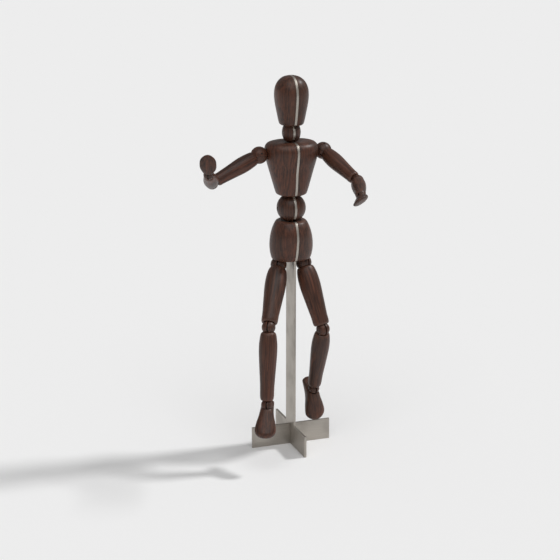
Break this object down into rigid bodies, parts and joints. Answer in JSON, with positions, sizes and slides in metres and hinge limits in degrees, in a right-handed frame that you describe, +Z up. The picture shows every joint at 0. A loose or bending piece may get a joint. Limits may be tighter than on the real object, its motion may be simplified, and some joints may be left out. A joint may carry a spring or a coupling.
{
  "type": "artist mannequin",
  "caption": "Jointed wooden drawing figure in a walking pose, its dark turned pieces split by a steel sheet, hung on a flat post over a cross base.",
  "frame": {"origin": "crossing of the two base plates, on the surface they stand on", "axes": "+Z up along the post, the figure faces -Y, its left side is +X"},
  "size_m": [0.1455, 0.1365, 0.3305],
  "materials": {
    "dark_wood": "satin oiled dark walnut, straight grain along each piece",
    "sheet_steel": "brushed sheet, fine grain along its length",
    "blued_steel": "thin spring steel, heat-darkened and oiled"
  },
  "bodies": {
    "stand_and_pelvis": {"spine_plate": "sheet_steel", "base_cross_plate": "sheet_steel", "pelvis_left_half": "dark_wood", "pelvis_right_half": "dark_wood"},
    "waist": {"waist_ball": "dark_wood"},
    "torso": {"torso_left_half": "dark_wood", "torso_right_half": "dark_wood", "torso_plate": "sheet_steel"},
    "neck": {"neck_bead": "dark_wood"},
    "head": {"head_left_half": "dark_wood", "head_right_half": "dark_wood", "head_plate": "sheet_steel"},
    "left_shoulder": {"left_shoulder_ball": "dark_wood"},
    "left_upper_arm": {"left_shoulder_tongue": "blued_steel", "left_upper_arm": "dark_wood"},
    "left_elbow": {"left_elbow_ball": "dark_wood"},
    "left_forearm": {"left_elbow_tongue": "blued_steel", "left_forearm": "dark_wood"},
    "left_wrist": {"left_wrist_ball": "dark_wood"},
    "left_hand": {"left_wrist_tongue": "blued_steel", "left_hand": "dark_wood"},
    "left_hip": {"left_hip_ball": "dark_wood"},
    "left_thigh": {"left_hip_tongue": "blued_steel", "left_thigh": "dark_wood"},
    "left_knee": {"left_knee_ball": "dark_wood"},
    "left_shin": {"left_knee_tongue": "blued_steel", "left_shin": "dark_wood"},
    "left_ankle": {"left_ankle_ball": "dark_wood"},
    "left_foot": {"left_ankle_tongue": "blued_steel", "left_foot": "dark_wood"},
    "right_shoulder": {"right_shoulder_ball": "dark_wood"},
    "right_upper_arm": {"right_shoulder_tongue": "blued_steel", "right_upper_arm": "dark_wood"},
    "right_elbow": {"right_elbow_ball": "dark_wood"},
    "right_forearm": {"right_elbow_tongue": "blued_steel", "right_forearm": "dark_wood"},
    "right_wrist": {"right_wrist_ball": "dark_wood"},
    "right_hand": {"right_wrist_tongue": "blued_steel", "right_hand": "dark_wood"},
    "right_hip": {"right_hip_ball": "dark_wood"},
    "right_thigh": {"right_hip_tongue": "blued_steel", "right_thigh": "dark_wood"},
    "right_knee": {"right_knee_ball": "dark_wood"},
    "right_shin": {"right_knee_tongue": "blued_steel", "right_shin": "dark_wood"},
    "right_ankle": {"right_ankle_ball": "dark_wood"},
    "right_foot": {"right_ankle_tongue": "blued_steel", "right_foot": "dark_wood"}
  },
  "joints": [
    {"name": "waist_turn", "type": "hinge", "parent": "stand_and_pelvis", "child": "waist", "pos_m": [0, 0, 0.2165], "axis": [0, 0, 1], "range_deg": [-60, 60]},
    {"name": "waist_bend", "type": "hinge", "parent": "waist", "child": "torso", "pos_m": [0, 0, 0.2165], "axis": [1, 0, 0], "range_deg": [-18, 18]},
    {"name": "neck_turn", "type": "hinge", "parent": "torso", "child": "neck", "pos_m": [0, 0, 0.2823], "axis": [0, 0, 1], "range_deg": [-80, 80]},
    {"name": "head_nod", "type": "hinge", "parent": "neck", "child": "head", "pos_m": [0, 0, 0.2823], "axis": [1, 0, 0], "range_deg": [-18, 18]},
    {"name": "left_shoulder_turn", "type": "hinge", "parent": "torso", "child": "left_shoulder", "pos_m": [0.0289, 0, 0.2643], "axis": [1, 0, 0], "range_deg": [-60, 40]},
    {"name": "left_shoulder_bend", "type": "hinge", "parent": "left_shoulder", "child": "left_upper_arm", "pos_m": [0.0289, 0, 0.2643], "axis": [0, -0.4047, 0.9144], "range_deg": [-20, 80]},
    {"name": "left_elbow_turn", "type": "hinge", "parent": "left_upper_arm", "child": "left_elbow", "pos_m": [0.0437, -0.0427, 0.2454], "axis": [0.3021, -0.8717, -0.3858], "range_deg": [-90, 45]},
    {"name": "left_elbow_bend", "type": "hinge", "parent": "left_elbow", "child": "left_forearm", "pos_m": [0.0437, -0.0427, 0.2454], "axis": [-0.4054, 0.2488, -0.8796], "range_deg": [-60, 35]},
    {"name": "left_wrist_turn", "type": "hinge", "parent": "left_forearm", "child": "left_wrist", "pos_m": [0.0323, -0.0786, 0.2405], "axis": [-0.3001, -0.9451, -0.129], "range_deg": [-90, 90]},
    {"name": "left_wrist_bend", "type": "hinge", "parent": "left_wrist", "child": "left_hand", "pos_m": [0.0323, -0.0786, 0.2405], "axis": [-0.7199, 0.3131, -0.6194], "range_deg": [-60, 45]},
    {"name": "left_hip_turn", "type": "hinge", "parent": "stand_and_pelvis", "child": "left_hip", "pos_m": [0.0115, 0, 0.1666], "axis": [0, 0, 1], "range_deg": [-20, 60]},
    {"name": "left_hip_bend", "type": "hinge", "parent": "left_hip", "child": "left_thigh", "pos_m": [0.0115, 0, 0.1666], "axis": [-0.9208, -0.39, 0], "range_deg": [-20, 30]},
    {"name": "left_knee_turn", "type": "hinge", "parent": "left_thigh", "child": "left_knee", "pos_m": [0.0212, -0.0229, 0.1115], "axis": [0.1605, -0.3788, -0.9115], "range_deg": [-5, 60]},
    {"name": "left_knee_bend", "type": "hinge", "parent": "left_knee", "child": "left_shin", "pos_m": [0.0212, -0.0229, 0.1115], "axis": [-0.9756, -0.2011, -0.0882], "range_deg": [-25, 40]},
    {"name": "left_ankle_turn", "type": "hinge", "parent": "left_shin", "child": "left_ankle", "pos_m": [0.022, 0.0007, 0.0488], "axis": [0.0119, 0.3522, -0.9358], "range_deg": [-30, 30]},
    {"name": "left_ankle_bend", "type": "hinge", "parent": "left_ankle", "child": "left_foot", "pos_m": [0.022, 0.0007, 0.0488], "axis": [-0.9871, -0.145, -0.0672], "range_deg": [-10, 70]},
    {"name": "right_shoulder_turn", "type": "hinge", "parent": "torso", "child": "right_shoulder", "pos_m": [-0.0289, 0, 0.2643], "axis": [-1, 0, 0], "range_deg": [-60, 60]},
    {"name": "right_shoulder_bend", "type": "hinge", "parent": "right_shoulder", "child": "right_upper_arm", "pos_m": [-0.0289, 0, 0.2643], "axis": [0, -0.9234, 0.3839], "range_deg": [-60, 60]},
    {"name": "right_elbow_turn", "type": "hinge", "parent": "right_upper_arm", "child": "right_elbow", "pos_m": [-0.0734, -0.0079, 0.2453], "axis": [-0.9077, -0.1611, -0.3875], "range_deg": [-90, 90]},
    {"name": "right_elbow_bend", "type": "hinge", "parent": "right_elbow", "child": "right_forearm", "pos_m": [-0.0734, -0.0079, 0.2453], "axis": [-0.4124, 0.5138, 0.7523], "range_deg": [-75, 9]},
    {"name": "right_wrist_turn", "type": "hinge", "parent": "right_forearm", "child": "right_wrist", "pos_m": [-0.0864, -0.0403, 0.2603], "axis": [-0.3421, -0.8527, 0.3948], "range_deg": [-90, 90]},
    {"name": "right_wrist_bend", "type": "hinge", "parent": "right_wrist", "child": "right_hand", "pos_m": [-0.0864, -0.0403, 0.2603], "axis": [-0.9158, 0.3966, 0.0629], "range_deg": [-75, 35]},
    {"name": "right_hip_turn", "type": "hinge", "parent": "stand_and_pelvis", "child": "right_hip", "pos_m": [-0.0115, 0, 0.1666], "axis": [0, 0, -1], "range_deg": [-30, 40]},
    {"name": "right_hip_bend", "type": "hinge", "parent": "right_hip", "child": "right_thigh", "pos_m": [-0.0115, 0, 0.1666], "axis": [-0.8535, 0.5212, 0], "range_deg": [-15, 15]},
    {"name": "right_knee_turn", "type": "hinge", "parent": "right_thigh", "child": "right_knee", "pos_m": [-0.0333, -0.0357, 0.1228], "axis": [-0.3599, -0.5894, -0.7232], "range_deg": [-30, 30]},
    {"name": "right_knee_bend", "type": "hinge", "parent": "right_knee", "child": "right_shin", "pos_m": [-0.0333, -0.0357, 0.1228], "axis": [-0.8453, 0.5342, -0.0147], "range_deg": [-30, 35]},
    {"name": "right_ankle_turn", "type": "hinge", "parent": "right_shin", "child": "right_ankle", "pos_m": [-0.0386, -0.0459, 0.0568], "axis": [-0.0791, -0.1523, -0.9852], "range_deg": [-30, 30]},
    {"name": "right_ankle_bend", "type": "hinge", "parent": "right_ankle", "child": "right_foot", "pos_m": [-0.0386, -0.0459, 0.0568], "axis": [-0.9046, 0.4262, 0.0068], "range_deg": [-8, 70]}
  ]
}
